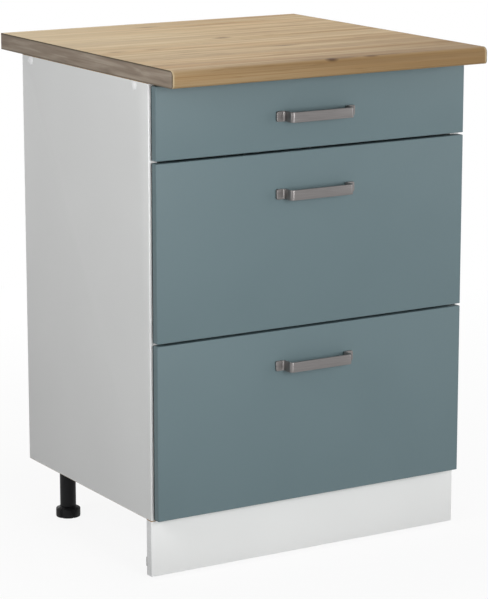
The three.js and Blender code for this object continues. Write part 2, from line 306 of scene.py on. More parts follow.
oakValues = {
    "colour": "#b89f78",
    "roughness": 0.55,
    "ior": 1.4,
    "band": (1100, 60, 60),  # growth bands, three or four fingers wide
    "tones": [(0.34, "#aa8c62"), (0.46, "#bfa47b"), (0.56, "#c8af87"), (0.68, "#af9067")],
    "grain": [  # pattern's size in mm, detail, its values from none to most, the most, colour
        ((700, 28, 8), 2, (0.5, 0.68), 0.55, "#b58a55"),  # warm streaks
        ((520, 20, 4), 2, (0.48, 0.36), 0.55, "#d9c59f"),  # pale streaks
        ((700, 12, 3), 2, (0.5, 0.66), 0.7, "#9b7b4c"),
        ((300, 4, 1.6), 2, (0.5, 0.7), 0.55, "#92703f"),
        ((70, 6, 2.6), 1, (0.62, 0.7), 0.5, "#77562b"),  # open pores, drawn coarser than the real 0.3 mm
    ],
    "spots": [  # place and reach in mm, the most, colour
        ((330, -250, 844), (420, 260, 700), 0.7, "#806033"),  # darker towards the front right corner: partly darker heartwood, partly painted shade where less light falls
        ((-340, 220, 844), (460, 460, 700), 0.6, "#d9c6a2"),  # paler towards the rear left: partly paler sapwood, partly painted light
        ((40, -278, 844), (420, 50, 30), 0.6, "#7a5a30"),  # a darker stripe just behind the nose
        ((160, -308, 822), (1500, 26, 34), 1.1, "#866941"),  # painted shade: the nose darker and warmer than the top, where the laminate turns down
        # painted shade along the upper rounding of the nose
        ((-140, -297, 841), (380, 9, 7), 0.6, "#7f6139"),
        ((80, -304, 836), (420, 12, 8), 0.7, "#7a5d38"),  # painted shade: a dark band along the nose's rounding
        ((-9, 40, 844), (22, 10, 9), 1.1, "#634522"),
        ((24, -108, 844), (34, 10, 9), 0.8, "#644a2b"),
        ((-259, -44, 844), (26, 8, 9), 0.7, "#64492b"),
        ((-189, -43, 844), (24, 8, 9), 0.6, "#64492b"),
        ((-42, 245, 844), (34, 9, 9), 0.7, "#64492b"),
        ((-4, -294, 842), (15, 8, 5), 1.5, "#452a0c"),
        ((14, -292, 842), (44, 5, 3), 1.3, "#63421c"),
        ((-34, -290, 843), (40, 4, 3), 1.0, "#6a4a22"),
        ((36, -288, 843), (40, 5, 3), 1.1, "#6a4a22"),
        ((72, -292, 842), (20, 6, 4), 1.5, "#543512"),
        ((100, -290, 843), (46, 5, 3), 1.2, "#63421c"),
        ((180, -288, 844), (90, 5, 3), 1.0, "#6f4e28"),
        ((-300, -304, 834), (5, 20, 60), 1.0, "#dccba8"),  # painted highlight at both ends of the nose, where they meet the end strips
        ((300, -304, 834), (5, 20, 60), 1.0, "#dccba8"),
    ],
    "sheen": {**noiseSpan, "To Min": 0.5, "To Max": 0.62},
    "relief": {"Distance": 0.04 * mm, "Strength": 0.4},
}


def oakLaminate():
    # printed oak under matt melamine resin, bent round the nose: long grain, short dark pores
    v = oakValues
    material, tree, shader = startMaterial("postformedOakLaminate", v)
    wavy = {**plainNoise, "Distortion": 0.4}
    band = addNode(tree, "TexNoise", wavy, {"Vector": patternSpace(tree, v["band"])})
    colour = addNode(tree, "ValToRGB", {"stops": v["tones"]}, {"Fac": band})
    for size, detail, span, most, tint in v["grain"]:
        settings = {"Scale": 1, "Detail": detail, "Roughness": 0.6, "Distortion": 0.3}
        grain = addNode(tree, "TexNoise", settings, {"Vector": patternSpace(tree, size)})
        colour = layer(tree, colour, grain, span, most, tint)
    for place, reach, most, tint in v["spots"]:
        near = patternSpace(tree, reach, place)
        spot = addNode(tree, "TexGradient", {"gradient_type": "SPHERICAL"}, {"Vector": near})
        colour = layer(tree, colour, spot, (0, 1), most, tint)
    connect(tree, shader, {
        "Base Color": colour,
        "Roughness": addNode(tree, "MapRange", v["sheen"], {"Value": band}),
        "Normal": addNode(tree, "Bump", v["relief"], {"Height": grain}),  # the last grain, the pores
    })
    return material


endStripValues = {
    "colour": "#988874",
    "roughness": 0.6,
    "ior": 1.4,
    "cloud": (16, 110, 12),
    "tones": [(0.34, "#87786a"), (0.5, "#9a8b7b"), (0.66, "#aea090")],
    "streak": (8, 220, 3.5),
    "streakSpan": (0.5, 0.72),
    "streakMost": 0.5,
    "streakColour": "#7d6b58",
    "edge": "#4e442f",
    "edgeSheen": {"To Min": 0.4, "To Max": 0.8},
    "jointShade": (3, 1),  # painted shade with a dark joint: mm from an edge where the face starts to go darker, and where it is darkest
    "jointShadeMost": (1, 0.6, 0.7),  # along the upper, the lower and the front edge
}


def endStripFace():
    # melamine edging paper printed as grey-brown oak, ironed on: dull and mottled, with soft streaks
    v = endStripValues
    material, tree, shader = startMaterial("ironedEdgingPaper", v)
    mottled = {**fineNoise, "Distortion": 0.4}
    cloud = addNode(tree, "TexNoise", mottled, {"Vector": patternSpace(tree, v["cloud"])})
    streak = addNode(tree, "TexNoise", fineNoise, {"Vector": patternSpace(tree, v["streak"])})
    colour = addNode(tree, "ValToRGB", {"stops": v["tones"]}, {"Fac": cloud})
    colour = layer(tree, colour, streak, v["streakSpan"], v["streakMost"], v["streakColour"])
    # painted shade with a dark joint: the face darkens towards its upper, lower and front edges
    axes = addNode(tree, "SeparateXYZ", {}, {0: patternSpace(tree, (1, 1, 1))}).outputs
    low, high = [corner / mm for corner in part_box("worktop")]
    starts, darkest = v["jointShade"]
    edges = (2, high.z, -1), (2, low.z, 1), (1, low.y, 1)  # axis, place on it, way inwards
    for (axis, edge, inward), most in zip(edges, v["jointShadeMost"]):
        span = (edge + inward * starts, edge + inward * darkest)
        colour = layer(tree, colour, axes[axis], span, most, v["edge"])
    connect(tree, shader, {"Base Color": colour})
    return material


def endStripEdge():
    # the filed edge of that strip: the brown paper core shows as a dark line
    v = dict(endStripValues, colour=endStripValues["edge"])
    material, tree, shader = startMaterial("filedPaperEdge", v)
    marks = addNode(tree, "TexNoise", plainNoise, {"Vector": patternSpace(tree, v["streak"])})
    connect(tree, shader, {
        "Roughness": addNode(tree, "MapRange", v["edgeSheen"], {"Value": marks}),
    })
    return material


nickelValues = {
    "colour": "#7a7776",
    "roughness": 0.4,
    "metallic": 0.8,  # a clear lacquer over the plate hides some of the metal
    "stretch": 0.6,  # brushing spreads a highlight across its lines
    "brush": (40, 0.8, 0.8),  # along the bar; real lines of 0.1 mm are drawn this coarse to show
    "tones": [(0.35, "#757271"), (0.7, "#807d7c")],
    "sheen": {**noiseSpan, "To Min": 0.36, "To Max": 0.44},
    "relief": {"Distance": 0.02 * mm, "Strength": 0.4},
}


def brushedNickel():
    # nickel plate brushed along the strip and lacquered: dull neutral metal with fine lengthwise lines
    v = nickelValues
    material, tree, shader = startMaterial("brushedNickelPlate", v)
    shader.inputs["Anisotropic"].default_value = v["stretch"]
    brush = addNode(tree, "TexNoise", plainNoise, {"Vector": patternSpace(tree, v["brush"])})
    connect(tree, shader, {
        "Base Color": addNode(tree, "ValToRGB", {"stops": v["tones"]}, {"Fac": brush}),
        "Roughness": addNode(tree, "MapRange", v["sheen"], {"Value": brush}),
        "Tangent": addNode(tree, "Tangent", {"direction_type": "RADIAL", "axis": "X"}),
        "Normal": addNode(tree, "Bump", v["relief"], {"Height": brush}),
    })
    return material


zincValues = {
    "colour": "#b7babd",
    "roughness": 0.3,
    "metallic": 1,
    "cloud": (9, 9, 9),
    "tones": [(0.35, "#b7babd"), (0.7, "#adb3b9")],
    "rolled": (2, 60, 2),  # rolling lines run along the slides
    "sheen": {**noiseSpan, "To Min": 0.25, "To Max": 0.38},
}


def zincPlate():
    # bright zinc on rolled steel sheet: cool grey, faint clouds from the bath, rolling lines
    v = zincValues
    material, tree, shader = startMaterial("brightZincPlatedSteel", v)
    cloud = addNode(tree, "TexNoise", plainNoise, {"Vector": patternSpace(tree, v["cloud"])})
    lines = addNode(tree, "TexNoise", softNoise, {"Vector": patternSpace(tree, v["rolled"])})
    connect(tree, shader, {
        "Base Color": addNode(tree, "ValToRGB", {"stops": v["tones"]}, {"Fac": cloud}),
        "Roughness": addNode(tree, "MapRange", v["sheen"], {"Value": lines}),
    })
    return material


blackPlasticValues = {
    "colour": "#08080a",
    "roughness": 0.6,
    "ior": 1.3,
    "scuff": (14, 14, 14),
    "tones": [(0.5, "#08080a"), (0.8, "#111113")],
    "sheen": {**noiseSpan, "To Min": 0.5, "To Max": 0.62},
    "grain": (1.2, 1.2, 1.2),  # real eroded grain is 0.2 mm, drawn this coarse so that it shows
    "relief": {"Distance": 0.05 * mm, "Strength": 0.5},
}


def blackPlastic():
    # injection-moulded black polypropylene: dull, with a fine eroded grain and a few pale scuffs
    v = blackPlasticValues
    material, tree, shader = startMaterial("mouldedBlackPolypropylene", v)
    scuff = addNode(tree, "TexNoise", fineNoise, {"Vector": patternSpace(tree, v["scuff"])})
    grain = addNode(tree, "TexNoise", softNoise, {"Vector": patternSpace(tree, v["grain"])})
    connect(tree, shader, {
        "Base Color": addNode(tree, "ValToRGB", {"stops": v["tones"]}, {"Fac": scuff}),
        "Roughness": addNode(tree, "MapRange", v["sheen"], {"Value": scuff}),
        "Normal": addNode(tree, "Bump", v["relief"], {"Height": grain}),
    })
    return material


whitePlasticValues = {
    "colour": "#fefeff",
    "roughness": 0.2,
    "ior": 1.53,
    "flow": (4, 4, 4),
    "tones": [(0.4, "#fefeff"), (0.7, "#fafafc")],
}


def whitePlastic():
    # injection-moulded white ABS: brighter and glossier than the board round it
    v = whitePlasticValues
    material, tree, shader = startMaterial("mouldedWhiteAbs", v)
    flow = addNode(tree, "TexNoise", softNoise, {"Vector": patternSpace(tree, v["flow"])})
    colour = addNode(tree, "ValToRGB", {"stops": v["tones"]}, {"Fac": flow})
    connect(tree, shader, {"Base Color": colour})
    return material


softPadValues = {
    "colour": "#dfe4e4",
    "roughness": 0.35,
    "ior": 1.41,
    "clearness": 0.5,
    "haze": (3, 3, 3),
    "tones": [(0.3, "#dfe4e4"), (0.7, "#c9cfcf")],
}


def softPad():
    # cast clear polyurethane: a milky, rubbery drop
    v = softPadValues
    material, tree, shader = startMaterial("castClearPolyurethane", v)
    shader.inputs["Transmission Weight"].default_value = v["clearness"]
    haze = addNode(tree, "TexNoise", softNoise, {"Vector": patternSpace(tree, v["haze"])})
    colour = addNode(tree, "ValToRGB", {"stops": v["tones"]}, {"Fac": haze})
    connect(tree, shader, {"Base Color": colour})
    return material


melamine = melamineFacing()
edging = edgeBand()
chipboard = sawnChipboard()
hardboard = rawHardboard()
lacquered = lacqueredHardboard()
foil = foilFront()
gapShade = paintedGapShade()
oak = oakLaminate()
stripFace = endStripFace()
stripEdge = endStripEdge()
nickel = brushedNickel()
zinc = zincPlate()
blackPp = blackPlastic()
whiteAbs = whitePlastic()
clearPad = softPad()
boardMaterials = (melamine, edging, chipboard)  # the facing, index 1 edging, 2 sawn board
panelMaterials = (hardboard, lacquered)  # raw, index 1 the lacquered side
print("materials made")


directions = {
    "-X": Vector((-1, 0, 0)), "+X": Vector((1, 0, 0)),
    "-Y": Vector((0, -1, 0)), "+Y": Vector((0, 1, 0)),
    "-Z": Vector((0, 0, -1)), "+Z": Vector((0, 0, 1)),
}


def boxShape(low, high):
    shape = bmesh.new()
    bmesh.ops.create_cube(shape, size=1)
    size = Vector(high) - Vector(low)
    middle = (Vector(high) + Vector(low)) / 2
    shape.transform(Matrix.Translation(middle) @ Matrix.Diagonal((*size, 1)))
    return shape


# an outline in (across, up), drawn out along the third axis from start to end
def drawnShape(outline, along, start, end):
    place = {
        "X": lambda a, b, c: (c, a, b),
        "Y": lambda a, b, c: (a, c, b),
        "Z": lambda a, b, c: (a, b, c),
    }[along]
    shape = bmesh.new()
    rings = [[shape.verts.new(place(a, b, c)) for a, b in outline] for c in (start, end)]
    count = len(outline)
    for i in range(count):
        j = (i + 1) % count
        shape.faces.new((rings[0][i], rings[0][j], rings[1][j], rings[1][i]))
    shape.faces.new(rings[0])
    shape.faces.new(rings[1])
    bmesh.ops.recalc_face_normals(shape, faces=shape.faces)
    return shape


# a profile of (radius, height) pairs turned about Z; reach(radius, height, angle) may reshape it
def turnedShape(profile, steps, reach=None):
    shape = bmesh.new()
    rings = []
    for radius, height in profile:
        if radius == 0:
            rings.append([shape.verts.new((0, 0, height))])
            continue
        ring = []
        for i in range(steps):
            angle = 2 * math.pi * i / steps
            r = reach(radius, height, angle) if reach else radius
            ring.append(shape.verts.new((r * math.cos(angle), r * math.sin(angle), height)))
        rings.append(ring)
    for lower, upper in zip(rings, rings[1:]):
        for i in range(steps):
            j = (i + 1) % steps
            corners = [lower[i % len(lower)], lower[j % len(lower)],
                       upper[j % len(upper)], upper[i % len(upper)]]
            shape.faces.new(dict.fromkeys(corners))
    bmesh.ops.recalc_face_normals(shape, faces=shape.faces)
    return shape


def arc(middle, radius, fromAngle, toAngle, steps=6):  # points along it, angles in degrees
    points = []
    for i in range(steps + 1):
        angle = math.radians(fromAngle + (toAngle - fromAngle) * i / steps)
        points.append((middle[0] + radius * math.cos(angle), middle[1] + radius * math.sin(angle)))
    return points


def roundEdges(shape, radius, segments=2, sharper=30):
    bmesh.ops.remove_doubles(shape, verts=shape.verts, dist=samePoint)
    sharp = math.radians(sharper)
    edges = [edge for edge in shape.edges if edge.is_manifold and edge.calc_face_angle() > sharp]
    bmesh.ops.bevel(shape, geom=edges, offset=radius, segments=segments, profile=0.5,
                    affect="EDGES", clamp_overlap=True)


cosines = {"flat": 0.99, "flatOrRounded": 0.3}  # the least between a face's normal and a direction


# a material index for each direction that faces look in
def paintSides(shape, sides, least=cosines["flat"]):
    shape.normal_update()
    for looks, index in sides.items():
        for face in shape.faces:
            if face.normal.dot(directions[looks]) > least:
                face.material_index = index


creaseAngle = 35  # degrees: a sharper edge isn't shaded smooth


def addPiece(name, shape, materials, body, stands=()):
    for face in shape.faces:
        face.smooth = True
    for edge in shape.edges:
        edge.smooth = edge.is_manifold and edge.calc_face_angle() < math.radians(creaseAngle)
    mesh = bpy.data.meshes.new(name)
    shape.to_mesh(mesh)
    shape.free()
    for material in materials:
        mesh.materials.append(material)
    piece = bpy.data.objects.new(name, mesh)
    bpy.context.scene.collection.objects.link(piece)
    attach(piece, body)
    if stands:
        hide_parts(*stands)
    return piece


boardValues = {
    "edgeRadius": 0.6 * mm,
    "capHole": 2.6 * mm,  # radius
    "capHoleDepth": 8.3 * mm,
    "cutterProud": 1 * mm,  # how far a hole's cutter stands out of the board
}


# sides: the faces that don't take the first of the materials, by direction
def addBoard(node, body, sides, materials=boardMaterials):
    low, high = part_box(node)
    shape = boxShape(low, high)
    roundEdges(shape, boardValues["edgeRadius"])
    paintSides(shape, sides, cosines["flatOrRounded"])
    return addPiece("finished_" + node, shape, materials, body, [node])


def cutAway(piece, cutters):  # takes solid shapes out of a piece
    for cutter in cutters:
        mesh = bpy.data.meshes.new("cutter")
        cutter.to_mesh(mesh)
        cutter.free()
        tool = bpy.data.objects.new("cutter", mesh)
        bpy.context.scene.collection.objects.link(tool)
        change = piece.modifiers.new("cut", "BOOLEAN")
        change.object = tool
        change.solver = "EXACT"
        bpy.context.view_layer.update()
        evaluated = piece.evaluated_get(bpy.context.evaluated_depsgraph_get())
        cut = bpy.data.meshes.new_from_object(evaluated)
        piece.modifiers.clear()
        piece.data = cut
        bpy.data.objects.remove(tool)


def addCarcass():
    v = boardValues
    radius, depth, proud = v["capHole"], v["capHoleDepth"], v["cutterProud"]
    for name, side in leftRight:
        node = f"side_panel_{name}"
        panel = addBoard(node, "carcass", {"-Y": 1, "+Y": 2, "-Z": 2, "+Z": 2})
        low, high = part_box(node)
        face = high.x if side > 0 else low.x
        holes = []
        for place in frontRear:
            low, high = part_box(f"screw_cap_{place}_{name}")
            middle = (low + high) / 2
            hole = turnedShape([(0, -proud), (radius, -proud), (radius, depth), (0, depth)], 24)
            hole.transform(Matrix.Translation((face, middle.y, middle.z))
                           @ Matrix.Rotation(-side * math.pi / 2, 4, "Y"))
            holes.append(hole)
        cutAway(panel, holes)
    addBoard("bottom_panel", "carcass", {"-Y": 1, "+Y": 2})
    addBoard("top_rail_front", "carcass", {"-Y": 1, "+Y": 2})
    addBoard("top_rail_rear", "carcass", {"-Y": 2, "+Y": 2})
    addBoard("plinth_board", "carcass", {"-X": 1, "+X": 1, "-Z": 1, "+Z": 2, "+Y": 0})
    addBoard("back_panel", "carcass", {"-Y": 1}, panelMaterials)


frontValues = {
    "edgeRadius": 1.2 * mm,
    "gapShadeStart": 3.2 * mm,  # from the back: how far the painted shade of the gap behind the front reaches onto the edges
}


def addDrawerBoards(name):
    body = f"{name}_drawer"
    frontNode = f"{name}_drawer_front"
    low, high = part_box(frontNode)
    v = frontValues
    shape = boxShape(low, high)
    roundEdges(shape, v["edgeRadius"], segments=4)
    paintSides(shape, {"+Y": 1})
    # the back of the foil-wrapped edges takes painted shade, for the gap behind the front
    gapShadeStart = Vector((0, high.y - v["gapShadeStart"], 0))
    whole = shape.verts[:] + shape.edges[:] + shape.faces[:]
    bmesh.ops.bisect_plane(shape, geom=whole, plane_co=gapShadeStart, plane_no=directions["+Y"])
    for face in shape.faces:
        if face.material_index == 0 and face.calc_center_median().y > gapShadeStart.y:
            face.material_index = 2
    materials = (foil, melamine, gapShade)
    addPiece("finished_" + frontNode, shape, materials, body, [frontNode])
    addBoard(f"{name}_drawer_back", body, {"+Z": 1, "-Z": 2, "-X": 2, "+X": 2})
    addBoard(f"{name}_drawer_floor", body, {"+Z": 1}, panelMaterials)
    for sideName, side in leftRight:
        addDrawerSide(name, sideName, side)


grooveValues = {
    "rise": 12 * mm,  # groove's lower side over the board's lower edge
    "depth": 6 * mm,
    "height": 3.6 * mm,
}


def addDrawerSide(name, sideName, side):
    v = grooveValues
    node = f"{name}_drawer_side_{sideName}"
    low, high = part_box(node)
    outer, inner = (high.x, low.x) if side > 0 else (low.x, high.x)
    floor = inner + side * v["depth"]
    bottom = low.z + v["rise"]
    top = bottom + v["height"]
    outline = [(outer, low.z), (inner, low.z), (inner, bottom), (floor, bottom),
               (floor, top), (inner, top), (inner, high.z), (outer, high.z)]
    shape = drawnShape(outline, "Y", low.y, high.y)
    roundEdges(shape, boardValues["edgeRadius"])
    paintSides(shape, {"+Z": 1, "-Z": 2, "-Y": 2, "+Y": 2})
    addPiece("finished_" + node, shape, boardMaterials, f"{name}_drawer",
             [node])


addCarcass()
for drawerName in drawerNames:
    addDrawerBoards(drawerName)
print("boards made")


worktopValues = {
    "noseTop": 9 * mm,
    "noseBottom": 5 * mm,
    "stripEdge": 0.3 * mm,
}


def worktopOutline(low, high):
    v = worktopValues
    top, bottom = v["noseTop"], v["noseBottom"]
    outline = [(high.y, low.z), (high.y, high.z)]
    outline += arc((low.y + top, high.z - top), top, 90, 180, steps=12)
    outline += arc((low.y + bottom, low.z + bottom), bottom, 180, 270, steps=8)
    return outline


def paintRim(shape):  # every face of a strip but its two broad ones
    shape.normal_update()
    for face in shape.faces:
        if abs(face.normal.x) < cosines["flat"]:
            face.material_index = 1


def addWorktop():
    low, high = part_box("worktop")
    shape = drawnShape(worktopOutline(low, high), "X", low.x, high.x)
    paintSides(shape, {"+Y": 1, "-X": 1, "+X": 1, "-Z": 2})
    materials = (oak, chipboard, hardboard)  # printed face, sawn rear and ends, brown underside
    addPiece("finished_worktop", shape, materials, "carcass", ["worktop"])
    for name, _ in leftRight:
        node = f"worktop_end_{name}"
        low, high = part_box(node)
        shape = drawnShape(worktopOutline(low, high), "X", low.x, high.x)
        roundEdges(shape, worktopValues["stripEdge"], segments=1)
        paintRim(shape)
        materials = (stripFace, stripEdge)
        addPiece("finished_" + node, shape, materials, "carcass", [node])


addWorktop()
print("worktop made")


handleValues = {
    "strip": 4 * mm,
    "gripLength": 122 * mm,
    "innerBend": 2.5 * mm,
    "padCorner": 3 * mm,
    "edge": 0.8 * mm,
    "sharper": 50,  # degrees: the edges that are rounded
}


def handleOutline(feet, reach):  # the right half's arcs are the left half's, mirrored
    v = handleValues
    grip, strip = v["gripLength"] / 2, v["strip"]
    tight = v["innerBend"]
    wide = tight + strip
    foot, bar = (grip + tight, wide), (grip - wide, reach - wide)  # middles of the two bends
    half = [(feet, 0), (feet, strip)] + arc(foot, tight, -90, -180) + arc(bar, wide, 0, 90)
    under = arc(bar, tight, 90, 0) + arc(foot, wide, 180, 270)
    mirrored = [(-x, depth) for x, depth in reversed(half)]
    return half + mirrored + [(-x, depth) for x, depth in reversed(under)] + under


def addHandle(name):
    v = handleValues
    node = f"{name}_drawer_handle"
    low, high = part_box(node)
    outline = handleOutline((high.x - low.x) / 2, high.y - low.y)
    shape = drawnShape([(x, high.y - depth) for x, depth in outline], "Z", low.z, high.z)
    bmesh.ops.remove_doubles(shape, verts=shape.verts, dist=samePoint)
    corners = []
    for edge in shape.edges:
        a, b = edge.verts[0].co, edge.verts[1].co
        atEnd = all(abs(abs(point.x) - high.x) < samePoint for point in (a, b))
        if atEnd and abs(a.z - b.z) < samePoint:
            corners.append(edge)
    bmesh.ops.bevel(shape, geom=corners, offset=v["padCorner"], segments=5, profile=0.5,
                    affect="EDGES")
    roundEdges(shape, v["edge"], segments=3, sharper=v["sharper"])
    addPiece("finished_" + node, shape, (nickel,), f"{name}_drawer", [node])


for drawerName in drawerNames:
    addHandle(drawerName)
print("handles made")


legValues = {
    "tubeRadius": 14 * mm,
    "bore": 11 * mm,  # radius
    "boreTop": 71 * mm,
    "flangeRadius": 29 * mm,
    "flangeThickness": 4 * mm,
    "tubeEdge": 0.5 * mm,
    "neckFillet": 3 * mm,
    "footRadius": 21.5 * mm,
    "footRim": 15 * mm,
    "footHeight": 18.7 * mm,
    "footEdge": 1.2 * mm,
    "footSlopeEnd": 0.3 * mm,  # from the tube's wall, where the foot's top stops sloping
    "notches": 6,
    "notchRadius": 2.5 * mm,
    "stemRadius": 10.7 * mm,
    "stemTop": 65 * mm,
    "threadDepth": 0.8 * mm,
    "threadPitch": 3 * mm,
    "ringsPerPitch": 6,
}


def legTubeShape():
    v = legValues
    tube, flange = v["tubeRadius"], v["flangeRadius"]
    edge, fillet = v["tubeEdge"], v["neckFillet"]
    low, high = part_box("leg_tube_rear_left")
    under = high.z - v["flangeThickness"]
    profile = [(0, v["boreTop"]), (v["bore"], v["boreTop"]), (v["bore"], low.z)]
    profile += [(tube - edge, low.z), (tube, low.z + edge)]
    profile += arc((tube + fillet, under - fillet), fillet, 180, 90, steps=5)
    profile += [(flange - edge, under), (flange, under + edge), (flange, high.z), (0, high.z)]
    return turnedShape(profile, 64)


# the rim's radius at an angle, where a round cutter set on the rim has taken a notch out of it
def notched(radius, height, angle):
    v = legValues
    reach, cutter = v["footRadius"], v["notchRadius"]
    pitch = 2 * math.pi / v["notches"]
    off = (angle % pitch) - pitch / 2
    side = reach * math.sin(off)
    if abs(side) >= cutter:
        return radius
    return min(radius, reach * math.cos(off) - math.sqrt(cutter ** 2 - side ** 2))


def legFootShape():
    v = legValues
    rim, edge, rimTop, top = v["footRadius"], v["footEdge"], v["footRim"], v["footHeight"]
    step = edge * 0.3  # from the corner to the middle of its round, each way
    profile = [(0, 0), (rim - edge, 0), (rim - step, step), (rim, edge)]
    profile += [(rim, rimTop - edge), (rim - 2 * step, rimTop)]
    profile += [(v["tubeRadius"] + v["footSlopeEnd"], top), (v["stemRadius"], top), (0, top)]
    return turnedShape(profile, 192, notched)


def stemShape():  # a helical ridge: the radius rises and falls once every pitch and every turn
    v = legValues
    bottom, top = v["footHeight"], v["stemTop"]

    def ridge(radius, height, angle):
        turn = (height / v["threadPitch"] - angle / (2 * math.pi)) % 1
        return radius - v["threadDepth"] * abs(2 * turn - 1)

    steps = int((top - bottom) / (v["threadPitch"] / v["ringsPerPitch"]))
    rise = (top - bottom) / steps
    rings = [(v["stemRadius"], bottom + i * rise) for i in range(steps + 1)]
    return turnedShape([(0, bottom)] + rings + [(0, top)], 36, ridge)


def addLegs():
    for place in frontRear:
        for name, _ in leftRight:
            tubeNode, footNode = f"leg_tube_{place}_{name}", f"leg_foot_{place}_{name}"
            low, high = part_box(tubeNode)
            middle = Matrix.Translation(((low.x + high.x) / 2, (low.y + high.y) / 2, 0))
            tube, foot, stem = legTubeShape(), legFootShape(), stemShape()
            for shape in (tube, foot, stem):
                shape.transform(middle)
            body = f"foot_{place}_{name}"
            addPiece("finished_" + tubeNode, tube, (blackPp,), "carcass", [tubeNode])
            addPiece("finished_" + footNode, foot, (blackPp,), body, [footNode])
            addPiece(f"leg_stem_{place}_{name}", stem, (blackPp,), body)


addLegs()
print("legs made")


keptValues = {
    "slideEdge": 0.25 * mm,
    "clipEdge": 0.5 * mm,
    "weld": 0.01 * mm,
}


# a node that stays as it is gets a material, and edges that catch the light
def dress(node, material, edge):
    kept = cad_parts[node]
    kept.data.materials.clear()
    kept.data.materials.append(material)
    weld = kept.modifiers.new("weld", "WELD")
    weld.merge_threshold = keptValues["weld"]
    rounding = kept.modifiers.new("edges", "BEVEL")
    rounding.width = edge
    rounding.segments = 2
    rounding.limit_method = "ANGLE"


for drawerName in drawerNames:
    for sideName, _ in leftRight:
        for rail in ("carcass_rail", "drawer_rail"):
            dress(f"{drawerName}_slide_{rail}_{sideName}", zinc, keptValues["slideEdge"])
for sideName, _ in leftRight:
    dress(f"plinth_clip_{sideName}", blackPp, keptValues["clipEdge"])
print("slides and clips dressed")


cageValues = {
    "ball": 2.1 * mm,  # radius
    "ballsPerRow": 4,
    "sheet": 0.8 * mm,
    "rowFromMiddle": 13.95 * mm,
    "ballFromLip": 0.6 * mm,
    "edge": 0.2 * mm,
}


def addBallCage(name, sideName, side):
    v = cageValues
    node = f"{name}_slide_ball_cage_{sideName}"
    low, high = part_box(node)
    body = f"{name}_ball_cage_{sideName}"
    level = (low.z + high.z) / 2
    web, lip = (high.x, low.x) if side > 0 else (low.x, high.x)
    inside = web - side * v["sheet"]
    half = v["rowFromMiddle"] + v["sheet"] / 2
    outline = [(web, -half), (lip, -half), (lip, -half + v["sheet"]), (inside, -half + v["sheet"]),
               (inside, half - v["sheet"]), (lip, half - v["sheet"]), (lip, half), (web, half)]
    shape = drawnShape([(x, level + z) for x, z in outline], "Y", low.y, high.y)
    roundEdges(shape, v["edge"], segments=1)
    addPiece("finished_" + node, shape, (zinc,), body, [node])
    balls = bmesh.new()
    pitch = (high.y - low.y) / v["ballsPerRow"]
    ballX = lip + side * (v["ball"] + v["ballFromLip"])
    for i in range(v["ballsPerRow"]):
        for row in (-1, 1):
            place = (ballX, low.y + (i + 0.5) * pitch, level + row * v["rowFromMiddle"])
            bmesh.ops.create_uvsphere(balls, u_segments=20, v_segments=12, radius=v["ball"],
                                      matrix=Matrix.Translation(place))
    addPiece(f"{name}_slide_balls_{sideName}", balls, (zinc,), body)


for drawerName in drawerNames:
    for sideName, side in leftRight:
        addBallCage(drawerName, sideName, side)
print("ball cages made")


capValues = {
    "radius": 7.5 * mm,
    "rim": 0.8 * mm,
    "height": 3 * mm,
    "domeEnd": 85,  # degrees: the dome's last ring before the point at its top
    "stem": 2.3 * mm,
    "stemLength": 8 * mm,
}


def capShape():
    v = capValues
    radius, height, stem, depth = v["radius"], v["height"], v["stem"], -v["stemLength"]
    crown = height - v["rim"]
    ball = (radius ** 2 + crown ** 2) / (2 * crown)  # the dome is the cap of a ball
    slope = math.degrees(math.acos(radius / ball))
    profile = [(0, depth), (stem, depth), (stem, 0), (radius, 0)]
    profile += arc((0, height - ball), ball, slope, v["domeEnd"], steps=10)
    return turnedShape(profile + [(0, height)], 48)


def addCaps():
    height = capValues["height"]
    for name, side in leftRight:
        for place in frontRear:
            node = f"screw_cap_{place}_{name}"
            low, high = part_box(node)
            face = high.x - height if side > 0 else low.x + height
            shape = capShape()
            shape.transform(Matrix.Translation((face, (low.y + high.y) / 2, (low.z + high.z) / 2))
                            @ Matrix.Rotation(side * math.pi / 2, 4, "Y"))
            addPiece("finished_" + node, shape, (whiteAbs,), "carcass", [node])


headValues = {
    "kinds": {  # radius and height, cross slot's half length and depth
        "pan": (4 * mm, 2.2 * mm, 2.4 * mm, 1.4 * mm),
        "flat": (3.5 * mm, 0.15 * mm, 2.2 * mm, 1.2 * mm),
        "cam": (7.4 * mm, 0.3 * mm, 4 * mm, 1.6 * mm),
        "pin": (1.5 * mm, 0.5 * mm, 0, 0),
        "pad": (4 * mm, 1.8 * mm, 0, 0),
    },
    "slot": 0.55 * mm,  # half its width
    "dome": [(1, 0), (1, 0.45), (0.93, 0.75), (0.78, 0.95), (0.72, 1)],  # shares of both
}


def headShape(kind):  # a low dome with a cross slot or none, standing on Z = 0
    radius, height, cross, depth = headValues["kinds"][kind]
    shape = bmesh.new()
    w = headValues["slot"]
    corners = [(cross, -w), (cross, w), (w, w), (w, cross), (-w, cross), (-w, w),
               (-cross, w), (-cross, -w), (-w, -w), (-w, -cross), (w, -cross), (w, -w)]
    plus = []
    for (x, y), (nextX, nextY) in zip(corners, corners[1:] + corners[:1]):
        plus += [(x, y), ((x + nextX) / 2, (y + nextY) / 2)]
    count = len(plus)
    turn = math.atan2(-w, cross) if cross else 0
    angles = [turn + 2 * math.pi * i / count for i in range(count)]
    rings = [[(math.cos(angle) * radius * across, math.sin(angle) * radius * across, height * up)
              for angle in angles] for across, up in headValues["dome"]]
    if cross:
        rings += [[(x, y, height) for x, y in plus], [(x, y, height - depth) for x, y in plus]]
    rings = [[shape.verts.new(point) for point in ring] for ring in rings]
    for lower, upper in zip(rings, rings[1:]):
        for i in range(count):
            j = (i + 1) % count
            shape.faces.new((lower[i], lower[j], upper[j], upper[i]))
    shape.faces.new(list(reversed(rings[0])))
    shape.faces.new(rings[-1])
    return shape


